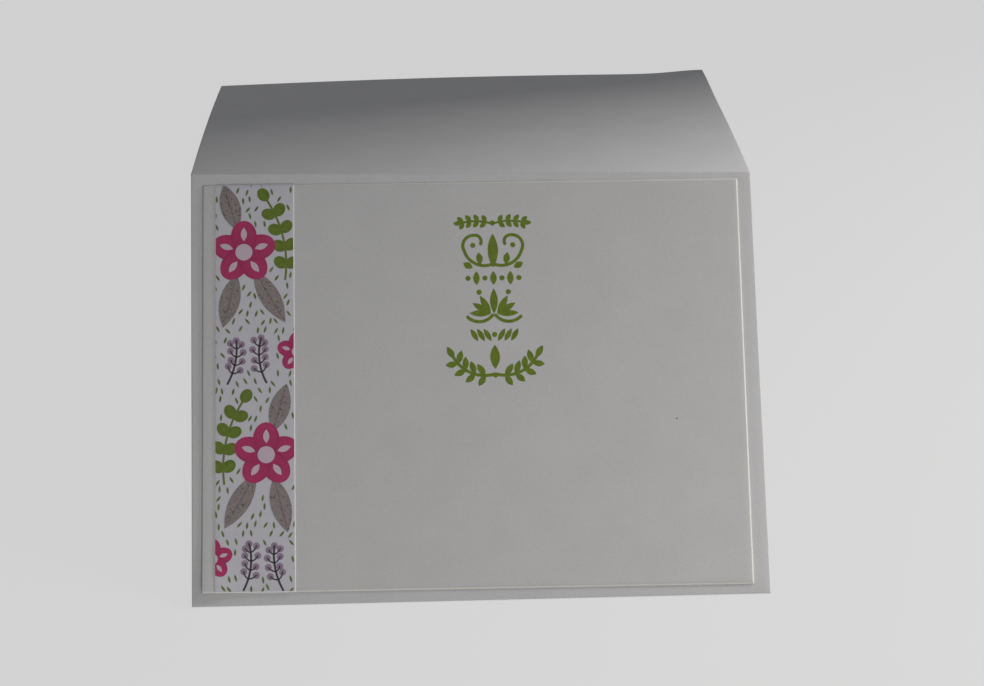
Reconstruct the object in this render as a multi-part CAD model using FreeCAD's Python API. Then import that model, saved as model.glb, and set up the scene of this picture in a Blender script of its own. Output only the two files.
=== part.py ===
# A folded greeting card, opened back past flat and resting like a low tent on its two free edges.
# Its decorated leaf faces the front with a glued panel, a strip of printed paper and a stamped ornament.
# Row frame in millimetres: X along the fold, Y away from the decorated leaf, Z up from the floor.
import math
import os
import random

import FreeCAD
import Part
from FreeCAD import Vector

# The folded sheet
CARD_WIDTH = 139.7
SHEET_LENGTH = 215.9
SHEET_THICKNESS = 0.35
DECORATED_LEAF = 106.8
FOLD_SKEW = 1.2
FOLD_RADIUS = 0.25
LEAF_SLOPE = 30.3
REAR_ARCH = 1.1

# The glued panel, by the borders that it leaves on the decorated leaf
PANEL_THICKNESS = 0.35
BORDER_LEFT = 2.3
BORDER_RIGHT = 4.05
BORDER_BOTTOM = 3.2
BORDER_FOLD = 2.0
PANEL_TURN = -0.34

# The printed strip on the panel
STRIP_WIDTH = 19.4
STRIP_INSET = 3.3
STRIP_THICKNESS = 0.2

# Ink, the smallest printed area in square mm, and the pattern's repeat along the strip
INK_THICKNESS = 0.05
SMALLEST_PRINT = 0.05
PATTERN_REPEAT = 50.8
PATTERN_WIDTH = 19.4

# Straight steps along a leaf's side, round an oval and a disc, and along a stroke
LEAF_STEPS = 5
OVAL_STEPS = 16
DISC_STEPS = 11
STROKE_STEPS = 6
TWIG_STEPS = 2
SEED_STEPS = 3

# A bloom: round petals about a pale eye, and where the large and the small one stand in a repeat
BLOOM_PETALS = 5
BLOOM_RADIUS = 8.0
PETAL_LENGTH = 8.2
PETAL_WIDTH = 6.4
BLOOM_EYE_RADIUS = 2.1
PETAL_MARK_LENGTH = 3.4
PETAL_MARK_WIDTH = 1.5
PETAL_MARK_GAP = 0.75
BLOOM_PLACE = (12.4, 33.5)
SMALL_BLOOM_PLACE = (-0.6, 8.2)
SMALL_BLOOM_SCALE = 0.62

# Grey leaves behind the bloom: x, y, turn from +Y in degrees, and length
GREY_LEAF_WIDTH = 5.0
GREY_LEAVES = ((10.0, 29.0, 150, 15.5), (14.2, 28.0, 194, 14.0), (14.0, 39.0, -16, 12.5))

# The green vine: a stem through three points, with pairs of round leaves from a share of its length
VINE_ROUTE = ((2.2, 26.5), (2.9, 38.0), (6.6, 46.6))
VINE_LEAF_LENGTH = 3.6
VINE_LEAF_WIDTH = 2.9
VINE_LEAF_PAIRS = 4
VINE_FIRST_PAIR = 0.15
VINE_LEAF_SPREAD = 52
STEM_WIDTH = 0.5

# Berry sprays: dark stems through three points, with twigs that end in berries
BERRY_ROUTES = (((6.9, 0.6), (8.6, 6.0), (8.2, 11.8)), ((16.4, 0.4), (14.6, 5.2), (14.3, 11.2)))
BERRY_RADIUS = 0.85
BERRY_PAIRS = 4
BERRY_FIRST_PAIR = 0.25
TWIG_WIDTH = 0.35
LONG_TWIG = 2.1
SHORT_TWIG = 1.6
TWIG_SPREAD = 48
TWIG_SAG = 0.12

# Seeds between the other motifs, scattered by shares of their spacing and leaning up to an angle
SEED_LENGTH = 1.9
SEED_WIDTH = 0.6
SEED_SPACING = 2.2
SEED_CLEARANCE = 0.3
SEED_JITTER = 0.2
SEED_LEAN = 42

# The stamped ornament: six rows about one centre line, from the panel's left and top edges
STAMP_CENTRE = 71.9
STAMP_TOP = 8.9
STAMP_STROKE = 0.8
STAMP_LEAF_WIDTH = 1.6
STAMP_BEAD = 0.65
STAMP_GAP = 0.9
GARLAND_WIDTH = 19.4
GARLAND_HEIGHT = 3.6
SCROLL_WIDTH = 15.0
SCROLL_HEIGHT = 8.7
BEAD_ROW_WIDTH = 13.9
BEAD_ROW_HEIGHT = 3.5
FAN_WIDTH = 13.9
FAN_HEIGHT = 9.1
CHAIN_WIDTH = 11.4
CHAIN_HEIGHT = 3.3
CHAIN_LEAVES = 3
BRANCH_WIDTH = 23.9
BRANCH_HEIGHT = 9.3

panel_width = CARD_WIDTH - BORDER_LEFT - BORDER_RIGHT
panel_height = DECORATED_LEAF - BORDER_BOTTOM - BORDER_FOLD


def section_points(leaf_height):
    """The corners and arc points of the sheet's section at one end of the fold, on its two faces."""
    slope = math.radians(LEAF_SLOPE)
    up = Vector(0, math.cos(slope), math.sin(slope))
    front_normal = Vector(0, -math.sin(slope), math.cos(slope))
    foot = front_normal * SHEET_THICKNESS
    fold = foot + up * leaf_height

    # The rear leaf drops to the floor: its chord slope makes the under corner of its far edge touch
    length = SHEET_LENGTH - leaf_height
    half_turn = 2 * math.atan(2 * REAR_ARCH / length)
    reach = length - SHEET_THICKNESS * math.sin(half_turn)
    lift = SHEET_THICKNESS * math.cos(half_turn)
    chord_slope = math.asin(fold.z / math.hypot(reach, lift)) - math.atan2(lift, reach)
    start_slope = chord_slope - half_turn
    far_edge = fold + Vector(0, math.cos(chord_slope), -math.sin(chord_slope)) * length

    # The fold is a small arc between the two leaves, tangent to both
    outer_radius = FOLD_RADIUS + SHEET_THICKNESS
    fold_turn = slope + start_slope
    tangent = outer_radius * math.tan(fold_turn / 2)
    down = Vector(0, math.cos(start_slope), -math.sin(start_slope))
    fold_start = fold - up * tangent
    fold_end = fold + down * tangent
    fold_centre = fold_start - front_normal * outer_radius
    crown = (fold - fold_centre).normalize()

    # The rear leaf bows up in one arc from the fold to its far edge
    chord = far_edge - fold_end
    arch_turn = math.atan2(down.cross(chord).x, down.dot(chord))
    across = Vector(0, -chord.z, chord.y).normalize()
    if across.z < 0:
        across = across * -1
    arch_middle = (fold_end + far_edge) * 0.5 + across * (chord.Length / 2 * math.tan(abs(arch_turn) / 2))
    arch = Part.ArcOfCircle(fold_end, arch_middle, far_edge)
    start_normal = (fold_end - arch.Center).normalize()
    middle_normal = (arch_middle - arch.Center).normalize()
    end_normal = (far_edge - arch.Center).normalize()
    return {
        "foot": foot,
        "foot_under": foot - front_normal * SHEET_THICKNESS,
        "fold_start": fold_start,
        "fold_start_under": fold_start - front_normal * SHEET_THICKNESS,
        "crown": fold_centre + crown * outer_radius,
        "crown_under": fold_centre + crown * FOLD_RADIUS,
        "fold_end": fold_end,
        "fold_end_under": fold_end - start_normal * SHEET_THICKNESS,
        "arch_middle": arch_middle,
        "arch_middle_under": arch_middle - middle_normal * SHEET_THICKNESS,
        "far_edge": far_edge,
        "far_edge_under": far_edge - end_normal * SHEET_THICKNESS,
    }


left_section = section_points(DECORATED_LEAF + FOLD_SKEW)
right_section = section_points(DECORATED_LEAF - FOLD_SKEW)
front_y = left_section["foot"].y
rear_y = max(left_section["far_edge"].y, right_section["far_edge"].y)
centre_y = (front_y + rear_y) / 2


def outline_face(points):
    """A flat shape within a closed outline of straight sides."""
    return Part.Face(Part.makePolygon(points + points[:1]))


def rear_section(points, x):
    """The closed outline of the fold and the rear leaf at one end, at its place along the fold."""
    p = {name: point + Vector(x, -centre_y, 0) for name, point in points.items()}
    edges = [
        Part.ArcOfCircle(p["fold_start"], p["crown"], p["fold_end"]),
        Part.ArcOfCircle(p["fold_end"], p["arch_middle"], p["far_edge"]),
        Part.LineSegment(p["far_edge"], p["far_edge_under"]),
        Part.ArcOfCircle(p["far_edge_under"], p["arch_middle_under"], p["fold_end_under"]),
        Part.ArcOfCircle(p["fold_end_under"], p["crown_under"], p["fold_start_under"]),
        Part.LineSegment(p["fold_start_under"], p["fold_start"]),
    ]
    return Part.Wire([edge.toShape() for edge in edges])


def card_base():
    """The flat decorated leaf, in one piece with the fold and the rear leaf, ruled from end to end."""
    to_left = Vector(-CARD_WIDTH / 2, -centre_y, 0)
    to_right = Vector(CARD_WIDTH / 2, -centre_y, 0)
    corners = [
        left_section["foot"] + to_left,
        right_section["foot"] + to_right,
        right_section["fold_start"] + to_right,
        left_section["fold_start"] + to_left,
    ]
    decorated_leaf = outline_face(corners).extrude(left_section["foot_under"] - left_section["foot"])
    left = rear_section(left_section, to_left.x)
    right = rear_section(right_section, to_right.x)
    rear_leaf = Part.makeLoft([left, right], True, True)
    return decorated_leaf.fuse(rear_leaf)


def on_panel(shape, height=0.0):
    """Carries a shape from the panel's own plane, corner at the origin, to the decorated leaf."""
    corner = left_section["foot"] + Vector(-CARD_WIDTH / 2, -centre_y, 0)
    to_leaf = FreeCAD.Placement(corner, FreeCAD.Rotation(Vector(1, 0, 0), LEAF_SLOPE))
    turn = FreeCAD.Rotation(Vector(0, 0, 1), PANEL_TURN)
    on_leaf = FreeCAD.Placement(Vector(BORDER_LEFT, BORDER_BOTTOM, height), turn)
    carried = shape.copy()
    carried.Placement = to_leaf.multiply(on_leaf).multiply(carried.Placement)
    return carried


def inside_panel():
    return on_panel(Part.makeBox(panel_width, panel_height, PANEL_THICKNESS))


def pattern_strip():
    strip = Part.makeBox(STRIP_WIDTH, panel_height, STRIP_THICKNESS, Vector(STRIP_INSET, 0, 0))
    return on_panel(strip, PANEL_THICKNESS)


def turned(face, x, y, degrees=0.0):
    """A copy of a flat shape, turned about its own origin and moved to x, y."""
    copy = face.copy()
    copy.Placement = FreeCAD.Placement(Vector(x, y, 0), FreeCAD.Rotation(Vector(0, 0, 1), degrees))
    return copy


def mirrored(face, x=0.0):
    """A flat shape's mirror image across the line at x, still facing up."""
    image = face.mirror(Vector(x, 0, 0), Vector(1, 0, 0))
    image.reverse()
    return image


def arc_points(route, steps):
    """Evenly spaced points on the arc through a route's three points, both ends included."""
    start, middle, end = (Vector(x, y, 0) for x, y in route)
    return Part.ArcOfCircle(start, middle, end).toShape().discretize(steps + 1)


def leaf_face(length, width, steps=LEAF_STEPS):
    """A pointed leaf between two arcs, from the origin along +Y."""
    right = arc_points(((0, 0), (width / 2, length / 2), (0, length)), steps)
    left = arc_points(((0, length), (-width / 2, length / 2), (0, 0)), steps)
    return outline_face(right + left[1:-1])


def round_leaf_face(length, width):
    """An oval leaf, from the origin along +Y."""
    turns = [2 * math.pi * step / OVAL_STEPS for step in range(OVAL_STEPS)]
    return outline_face([
        Vector(width / 2 * math.sin(turn), length / 2 * (1 - math.cos(turn)), 0) for turn in turns
    ])


def disc_face(radius, x=0.0, y=0.0):
    turns = [2 * math.pi * step / DISC_STEPS for step in range(DISC_STEPS)]
    return outline_face([
        Vector(x + radius * math.cos(turn), y + radius * math.sin(turn), 0) for turn in turns
    ])


def stroke_face(route, width, steps=STROKE_STEPS):
    """A band of one width along the arc through a route's three points, with blunt round ends."""
    line = arc_points(route, steps)
    ahead = [(after - before).normalize() for before, after in zip(line[:1] + line, line[1:] + line[-1:])]
    right = [point + Vector(way.y, -way.x, 0) * (width / 2) for point, way in zip(line, ahead)]
    left = [point - Vector(way.y, -way.x, 0) * (width / 2) for point, way in zip(line, ahead)]
    tip = line[-1] + ahead[-1] * (width / 2)
    tail = line[0] - ahead[0] * (width / 2)
    return outline_face(right + [tip] + left[::-1] + [tail])


def stations(route, shares):
    """Places along a route's arc at the given shares of it, as x, y and the direction from +Y."""
    arc = Part.ArcOfCircle(*(Vector(x, y, 0) for x, y in route))
    places = []
    for share in shares:
        parameter = arc.FirstParameter + share * (arc.LastParameter - arc.FirstParameter)
        point = arc.value(parameter)
        ahead = arc.tangent(parameter)[0]
        forward = Vector(route[2][0] - route[0][0], route[2][1] - route[0][1], 0)
        if ahead.dot(forward) < 0:
            ahead = ahead * -1
        places.append((point.x, point.y, math.degrees(math.atan2(-ahead.x, ahead.y))))
    return places


def joined(faces):
    """Flat shapes of one colour, made one wherever they overlap."""
    fused = faces[0].multiFuse(faces[1:])
    return Part.Shell(fused.Faces).removeSplitter().Faces


def clear_of(faces, earlier):
    """What is left of flat shapes where earlier ones are already printed."""
    left = []
    for face in faces:
        near = [other for other in earlier if face.BoundBox.intersect(other.BoundBox)]
        left += face.cut(near).Faces if near else [face]
    return left


def bloom(x, y, scale=1.0):
    """Round petals about a centre, and the pale eye and petal marks that are printed over them."""
    petal = round_leaf_face(PETAL_LENGTH * scale, PETAL_WIDTH * scale)
    mark = leaf_face(PETAL_MARK_LENGTH * scale, PETAL_MARK_WIDTH * scale)
    petals = []
    marks = [disc_face(BLOOM_EYE_RADIUS * scale, x, y)]
    for number in range(BLOOM_PETALS):
        turn = 360 / BLOOM_PETALS * number
        outward = Vector(-math.sin(math.radians(turn)), math.cos(math.radians(turn)), 0)
        root = Vector(x, y, 0) + outward * ((BLOOM_RADIUS - PETAL_LENGTH) * scale)
        start = Vector(x, y, 0) + outward * ((BLOOM_EYE_RADIUS + PETAL_MARK_GAP) * scale)
        petals.append(turned(petal, root.x, root.y, turn))
        marks.append(turned(mark, start.x, start.y, turn))
    return petals, marks


def shares_from(first, count):
    """Even shares of a stem from the first pair of leaves towards its tip."""
    return [first + (1 - first) * number / count for number in range(count)]


def vine(route):
    """A green stem with pairs of round leaves and one at its tip."""
    leaf = round_leaf_face(VINE_LEAF_LENGTH, VINE_LEAF_WIDTH)
    faces = [stroke_face(route, STEM_WIDTH)]
    for x, y, direction in stations(route, shares_from(VINE_FIRST_PAIR, VINE_LEAF_PAIRS)):
        faces += [turned(leaf, x, y, direction + side * VINE_LEAF_SPREAD) for side in (-1, 1)]
    return faces + [turned(leaf, *stations(route, [1.0])[0])]


def berry_spray(route):
    """A dark stem with short side twigs, and a round berry at the end of each."""
    stems = [stroke_face(route, STEM_WIDTH)]
    berries = [disc_face(BERRY_RADIUS, *stations(route, [1.0])[0][:2])]
    pairs = stations(route, shares_from(BERRY_FIRST_PAIR, BERRY_PAIRS))
    for number, (x, y, direction) in enumerate(pairs):
        for side in (-1, 1):
            reach = LONG_TWIG if (number + side) % 4 else SHORT_TWIG
            turn = math.radians(direction + side * TWIG_SPREAD)
            tip = (x - reach * math.sin(turn), y + reach * math.cos(turn))
            sag = side * TWIG_SAG * reach
            bend = ((x + tip[0]) / 2 - sag * math.cos(turn), (y + tip[1]) / 2 - sag * math.sin(turn))
            stems.append(stroke_face(((x, y), bend, tip), TWIG_WIDTH, TWIG_STEPS))
            berries.append(disc_face(BERRY_RADIUS, *tip))
    return stems, berries


def pattern_tile():
    """One repeat of the pattern by colour, no colour over an earlier one but for the marks on the petals."""
    pink, blush = bloom(*BLOOM_PLACE)
    small_petals, small_marks = bloom(*SMALL_BLOOM_PLACE, SMALL_BLOOM_SCALE)
    grey = [turned(leaf_face(length, GREY_LEAF_WIDTH), x, y, turn) for x, y, turn, length in GREY_LEAVES]
    stems, berries = [], []
    for route in BERRY_ROUTES:
        dark, lilac = berry_spray(route)
        stems += dark
        berries += lilac
    tile = {
        "pink": joined(pink + small_petals),
        "grey": joined(grey),
        "green": joined(vine(VINE_ROUTE)),
        "lilac": joined(berries),
        "plum": joined(stems),
    }
    printed = []
    for colour in tile:
        tile[colour] = clear_of(tile[colour], printed)
        printed += tile[colour]
    tile["blush"] = blush + small_marks
    return tile


def cropped(faces, outline):
    """Flat shapes cut where they cross the outline, without those outside it and without slivers."""
    kept = []
    for face in faces:
        if outline.BoundBox.isInside(face.BoundBox):
            kept.append(face)
        elif outline.BoundBox.intersect(face.BoundBox):
            kept += face.common(outline).Faces
    return [face for face in kept if face.Area > SMALLEST_PRINT]


def seeds(printed):
    """Small seeds in staggered rows, scattered a little, wherever the other motifs leave room."""
    scatter = random.Random(5)
    seed = leaf_face(SEED_LENGTH, SEED_WIDTH, SEED_STEPS)
    sown = []
    for row in range(math.ceil(panel_height / SEED_SPACING)):
        for column in range(math.ceil(STRIP_WIDTH / SEED_SPACING) + 1):
            along = column + row % 2 / 2 + scatter.uniform(-SEED_JITTER, SEED_JITTER)
            up = row + scatter.uniform(-SEED_JITTER, SEED_JITTER)
            lean = scatter.uniform(-SEED_LEAN, SEED_LEAN)
            face = turned(seed, STRIP_INSET + along * SEED_SPACING, up * SEED_SPACING, lean)
            room = FreeCAD.BoundBox(face.BoundBox)
            room.enlarge(SEED_CLEARANCE)
            near = [other for other in printed + sown if room.intersect(other.BoundBox)]
            if all(face.distToShape(other)[0] > SEED_CLEARANCE for other in near):
                sown.append(face)
    return sown


def strip_print():
    """The pattern's colours as flat shapes within the strip, each second repeat mirrored across it."""
    outline = Part.makePlane(STRIP_WIDTH, panel_height, Vector(STRIP_INSET, 0, 0))
    tile = pattern_tile()
    flat = {colour: [] for colour in tile}
    for number in range(math.ceil(panel_height / PATTERN_REPEAT) + 1):
        for colour, faces in tile.items():
            for face in faces:
                copy = mirrored(face, PATTERN_WIDTH / 2) if number % 2 else face.copy()
                copy.translate(Vector(STRIP_INSET, number * PATTERN_REPEAT, 0))
                flat[colour].append(copy)
    flat = {colour: cropped(faces, outline) for colour, faces in flat.items()}
    printed = [face for colour, faces in flat.items() if colour != "blush" for face in faces]
    flat["seeds"] = cropped(seeds(printed), outline)
    return flat


def inked(faces, height):
    """Flat shapes given the ink's thickness, at their height above the panel's own plane."""
    solids = [face.extrude(Vector(0, 0, INK_THICKNESS)) for face in faces]
    return on_panel(Part.makeCompound(solids), height)


def both_sides(faces):
    """Shapes right of the centre line together with their mirror images left of it."""
    return faces + [mirrored(face) for face in faces]


def garland_row(half, height):
    """A bead between two stems that run out to the sides, with leaves above and below them."""
    route = ((STAMP_BEAD, 0.0), (half * 0.5, height * 0.14), (half - STAMP_LEAF_WIDTH, 0.0))
    leaf_length = height * 0.58
    leaf = leaf_face(leaf_length, STAMP_LEAF_WIDTH * 0.75)
    faces = [stroke_face(route, STAMP_STROKE * 0.7)]
    for x, y, direction in stations(route, (0.12, 0.37, 0.62, 0.87)):
        faces += [turned(leaf, x, y, direction - 52), turned(leaf, x, y, direction + 52)]
    faces.append(turned(leaf, half - leaf_length, 0.0, -90))
    return both_sides(faces) + [disc_face(STAMP_BEAD)]


def scroll_row(half, height):
    """Two rising scrolls about an upright leaf, with a bead in each curl and leaves at its foot."""
    low = -height / 2
    foot = (STAMP_STROKE / 2, low + STAMP_STROKE)
    side = (half - STAMP_STROKE / 2, 0.0)
    head = (half * 0.62, height / 2 - STAMP_STROKE / 2)
    curl = (half * 0.4, height * 0.2)
    faces = [
        stroke_face((foot, (half * 0.62, low + STAMP_STROKE * 1.5), side), STAMP_STROKE),
        stroke_face((side, (half * 0.93, height * 0.32), head), STAMP_STROKE),
        stroke_face((head, (half * 0.42, height * 0.38), curl), STAMP_STROKE),
        disc_face(STAMP_BEAD, half * 0.66, height * 0.16),
        turned(leaf_face(height * 0.36, STAMP_LEAF_WIDTH), half * 0.42, low + STAMP_STROKE, -8),
        turned(leaf_face(height * 0.3, STAMP_LEAF_WIDTH), half * 0.68, low, -62),
    ]
    return both_sides(faces) + [turned(leaf_face(height, STAMP_LEAF_WIDTH * 1.6), 0, low)]


def bead_row(half, height):
    """Upright leaves and beads in turn."""
    pitch = (half - STAMP_BEAD) / 3
    leaf = leaf_face(height, STAMP_LEAF_WIDTH)
    faces = [
        disc_face(STAMP_BEAD, pitch),
        turned(leaf, 2 * pitch, -height / 2),
        disc_face(STAMP_BEAD, 3 * pitch),
    ]
    return both_sides(faces) + [turned(leaf, 0, -height / 2)]


def fan_row(half, height):
    """A fan of leaves over two curled strokes."""
    base = height * 0.3 - height / 2
    leaf = leaf_face(height * 0.58, STAMP_LEAF_WIDTH)
    faces = [turned(leaf, STAMP_LEAF_WIDTH / 2, base, -turn) for turn in (30, 59, 88)]
    stroke_start = (STAMP_STROKE / 2, base - STAMP_STROKE / 2)
    stroke_dip = (half * 0.5, base - height * 0.22)
    stroke_end = (half - STAMP_STROKE / 2, base - STAMP_STROKE)
    faces.append(stroke_face((stroke_start, stroke_dip, stroke_end), STAMP_STROKE))
    faces.append(disc_face(STAMP_BEAD, half * 0.52, base + height * 0.6))
    return both_sides(faces) + [turned(leaf_face(height * 0.7, STAMP_LEAF_WIDTH * 1.2), 0, base)]


def chain_row(half, height):
    """Slanted leaves that lean out from a middle bead."""
    pitch = (half - STAMP_STROKE) / CHAIN_LEAVES
    leaf = leaf_face(height * 1.1, STAMP_LEAF_WIDTH * 0.8)
    faces = [turned(leaf, STAMP_STROKE + number * pitch, -height / 2, -30) for number in range(CHAIN_LEAVES)]
    return both_sides(faces) + [disc_face(STAMP_BEAD)]


def branch_row(half, height):
    """Two long sprigs that sweep out and up from the centre, the widest row."""
    route = ((STAMP_STROKE / 2, -height * 0.3), (half * 0.55, -height * 0.22), (half * 0.85, height * 0.16))
    upper = leaf_face(half * 0.29, half * 0.13)
    lower = leaf_face(half * 0.26, half * 0.13)
    faces = [stroke_face(route, STAMP_STROKE)]
    for x, y, direction in stations(route, (0.18, 0.4, 0.62, 0.84)):
        faces += [turned(upper, x, y, direction + 56), turned(lower, x, y, direction - 56)]
    faces.append(turned(upper, *stations(route, [0.98])[0]))
    upright = turned(leaf_face(height * 0.66, STAMP_LEAF_WIDTH * 1.5), 0, -height * 0.16)
    return both_sides(faces) + [upright, disc_face(STAMP_BEAD, 0, -height * 0.32)]


def stamp_faces():
    """The six rows stacked down from the top margin, each about the same centre line."""
    rows = (
        (garland_row, GARLAND_WIDTH, GARLAND_HEIGHT),
        (scroll_row, SCROLL_WIDTH, SCROLL_HEIGHT),
        (bead_row, BEAD_ROW_WIDTH, BEAD_ROW_HEIGHT),
        (fan_row, FAN_WIDTH, FAN_HEIGHT),
        (chain_row, CHAIN_WIDTH, CHAIN_HEIGHT),
        (branch_row, BRANCH_WIDTH, BRANCH_HEIGHT),
    )
    faces = []
    top = panel_height - STAMP_TOP
    for draw, width, height in rows:
        for face in joined(draw(width / 2, height)):
            face.translate(Vector(STAMP_CENTRE, top - height / 2, 0))
            faces.append(face)
        top -= height + STAMP_GAP
    return faces


printed = strip_print()
strip_top = PANEL_THICKNESS + STRIP_THICKNESS
nodes = {
    "card_base": card_base(),
    "inside_panel": inside_panel(),
    "pattern_strip": pattern_strip(),
    "print_pink": inked(printed["pink"], strip_top),
    "print_blush": inked(printed["blush"], strip_top + INK_THICKNESS),
    "print_grey": inked(printed["grey"], strip_top),
    "print_green": inked(printed["green"], strip_top),
    "print_seeds": inked(printed["seeds"], strip_top),
    "print_lilac": inked(printed["lilac"], strip_top),
    "print_plum": inked(printed["plum"], strip_top),
    "stamped_ornament": inked(stamp_faces(), PANEL_THICKNESS),
}

os.makedirs("parts", exist_ok=True)
for node, shape in nodes.items():
    shape.exportStep("parts/" + node + ".step")
    box = shape.BoundBox
    print(node, "solids", len(shape.Solids), "volume", round(shape.Volume, 2))
    sides = (box.XMin, box.XMax, box.YMin, box.YMax, box.ZMin, box.ZMax)
    print("    x %.2f %.2f  y %.2f %.2f  z %.2f %.2f" % sides)
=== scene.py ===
import bmesh
import bpy
import numpy as np
from mathutils import Matrix


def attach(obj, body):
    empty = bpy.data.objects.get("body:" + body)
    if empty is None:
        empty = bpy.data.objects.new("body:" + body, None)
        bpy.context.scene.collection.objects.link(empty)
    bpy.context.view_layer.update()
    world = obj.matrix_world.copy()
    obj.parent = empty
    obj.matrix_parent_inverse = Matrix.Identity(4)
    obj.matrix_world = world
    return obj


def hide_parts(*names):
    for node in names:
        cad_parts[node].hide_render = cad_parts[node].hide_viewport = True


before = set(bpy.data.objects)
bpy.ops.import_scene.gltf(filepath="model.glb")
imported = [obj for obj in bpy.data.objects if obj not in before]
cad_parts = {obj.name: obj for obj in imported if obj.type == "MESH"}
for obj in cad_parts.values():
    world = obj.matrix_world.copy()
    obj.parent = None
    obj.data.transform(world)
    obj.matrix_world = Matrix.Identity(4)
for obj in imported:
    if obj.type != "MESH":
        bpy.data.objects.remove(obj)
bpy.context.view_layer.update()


# The card base: one sheet of white cardstock, cut square and folded once a little past its middle.
# The decorated leaf is flat, the fold is a tight round, and the rear leaf bows up a little and
# curls up along its free edge and at its right corner. The cut edges are pressed round outside.
CARD_WIDTH = 139.7
SHEET_LENGTH = 215.9
SHEET_THICKNESS = 0.35
DECORATED_LEAF = 106.8
FOLD_SKEW = 1.2
FOLD_RADIUS = 0.25
LEAF_SLOPE = np.radians(30.3)
REAR_ARCH = 1.1
FREE_EDGE_CURL = 0.8
FREE_CORNER_LIFT = 1.5
FREE_CORNER_REACH = (11.0, 25.0)
BASE_EDGE_ROUND = 0.3
BASE_EDGE_PRESS = 0.8
EDGE_STEPS = 6
LEAF_ROWS = 61
REAR_ROWS = 81
FOLD_ROWS = 11
BASE_COLUMNS = 71
# The base's white is painted a little lighter than the panel's same cardstock, to offset the shade on its
# border.
BASE_WHITE_PAINTED_LIGHTER = (0.69, 0.687, 0.69)
CARDSTOCK_ROUGHNESS = 0.88
PAPER_GLOSS = 0.25
UNCHANGED = (1.0, 1.0, 1.0)
MOTTLE_LOW = 0.3
MOTTLE_HIGH = 0.7
CLOUDS_PER_METRE = 90
CLOUD_SHADE = 0.02
CLOUD_DETAIL = 3.0
FIBRES_PER_METRE = 2600
FIBRE_SHADES = ((0.32, (0.94, 0.94, 0.94)), (0.6, UNCHANGED))
FIBRE_DETAIL = 3.0
TOOTH_PER_METRE = 3200
TOOTH_DEPTH = 0.00004
TOOTH_STRENGTH = 0.5
TOOTH_DETAIL = 4.0
SHARP_ANGLE = np.radians(50)
MM_PER_METRE = 1000
rear_leaf = SHEET_LENGTH - DECORATED_LEAF


def section(leaf_height, place):
    """Points (y, z) and outward normals of the sheet's outer face at one end of the fold.

    place runs from 0 to 1 up the decorated leaf, to 2 round the fold and to 3 down the rear leaf.
    Leaf: foot + (fold's start - foot) * place. Fold and rear leaf: centre + radius * (-sin a, cos a),
    where the heading a falls evenly from the leaf's slope to the rear leaf's start and on to its end.
    """
    up = np.array([np.cos(LEAF_SLOPE), np.sin(LEAF_SLOPE)])
    normal = np.array([-np.sin(LEAF_SLOPE), np.cos(LEAF_SLOPE)])
    foot = normal * SHEET_THICKNESS
    ridge = foot + up * leaf_height
    length = SHEET_LENGTH - leaf_height
    half_turn = 2 * np.arctan(2 * REAR_ARCH / length)
    reach = length - SHEET_THICKNESS * np.sin(half_turn)
    lift = SHEET_THICKNESS * np.cos(half_turn)
    chord_slope = np.arcsin(ridge[1] / np.hypot(reach, lift)) - np.arctan2(lift, reach)
    start_slope = chord_slope - half_turn
    far_edge = ridge + np.array([np.cos(chord_slope), -np.sin(chord_slope)]) * length

    outer_radius = FOLD_RADIUS + SHEET_THICKNESS
    tangent = outer_radius * np.tan((LEAF_SLOPE + start_slope) / 2)
    down = np.array([np.cos(start_slope), -np.sin(start_slope)])
    fold_start = ridge - up * tangent
    fold_end = ridge + down * tangent
    fold_centre = fold_start - normal * outer_radius

    chord = far_edge - fold_end
    arch_turn = np.arctan2(-(down[0] * chord[1] - down[1] * chord[0]), down @ chord)
    rear_radius = np.hypot(*chord) / (2 * np.sin(arch_turn))
    rear_centre = fold_end - np.array([np.sin(start_slope), np.cos(start_slope)]) * rear_radius

    fold_heading = LEAF_SLOPE - (LEAF_SLOPE + start_slope) * np.clip(place - 1, 0, 1)
    heading = fold_heading - 2 * arch_turn * np.clip(place - 2, 0, 1)
    normals = np.stack([-np.sin(heading), np.cos(heading)], axis=-1)
    leaf_points = foot + (fold_start - foot) * np.clip(place, 0, 1)[:, None]
    fold_points = fold_centre + outer_radius * normals
    rear_points = rear_centre + rear_radius * normals
    beyond_leaf = np.where(place[:, None] < 2, fold_points, rear_points)
    return np.where(place[:, None] < 1, leaf_points, beyond_leaf), normals


def rounded_steps(edge_round):
    """Places over one rounded cut edge, closest together at its rim: edge_round * (1 - cos a)."""
    return edge_round * (1 - np.cos(np.linspace(0, np.pi / 2, EDGE_STEPS)))


def edge_steps(length, count, edge_round):
    """Places from edge to edge: even in the middle, and closer over each rounded cut edge."""
    near = rounded_steps(edge_round)
    middle = np.linspace(edge_round, length - edge_round, count)
    return np.concatenate([near[:-1], middle, (length - near[:-1])[::-1]])


def edge_drop(distance, edge_round):
    """How far a face falls at a distance from its cut edge, as a share: a quarter of an ellipse."""
    inward = np.clip(1 - distance / edge_round, 0, 1)
    return 1 - np.sqrt(1 - inward ** 2)


def closed_sheet(top, bottom, uv=None):
    """Points, faces and UVs of a plate between two grids, with a wall round their common rim.

    Rows of a grid run up the plate and columns to the right, so the top's faces turn outwards.
    """
    rows, columns = top.shape[:2]
    count = rows * columns
    points = np.concatenate([top.reshape(-1, 3), bottom.reshape(-1, 3)])
    index = np.arange(count).reshape(rows, columns)
    corners = [index[:-1, :-1], index[:-1, 1:], index[1:, 1:], index[1:, :-1]]
    quads = np.stack(corners, axis=-1).reshape(-1, 4)
    rim = np.concatenate([index[0, :-1], index[:-1, -1], index[-1, :0:-1], index[:0:-1, 0]])
    after = np.roll(rim, -1)
    wall = np.stack([rim, rim + count, after + count, after], axis=-1)
    faces = np.concatenate([quads, quads[:, ::-1] + count, wall])
    if uv is None:
        uv = np.zeros((rows, columns, 2))
    return points, faces, np.concatenate([uv.reshape(-1, 2)] * 2)


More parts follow.
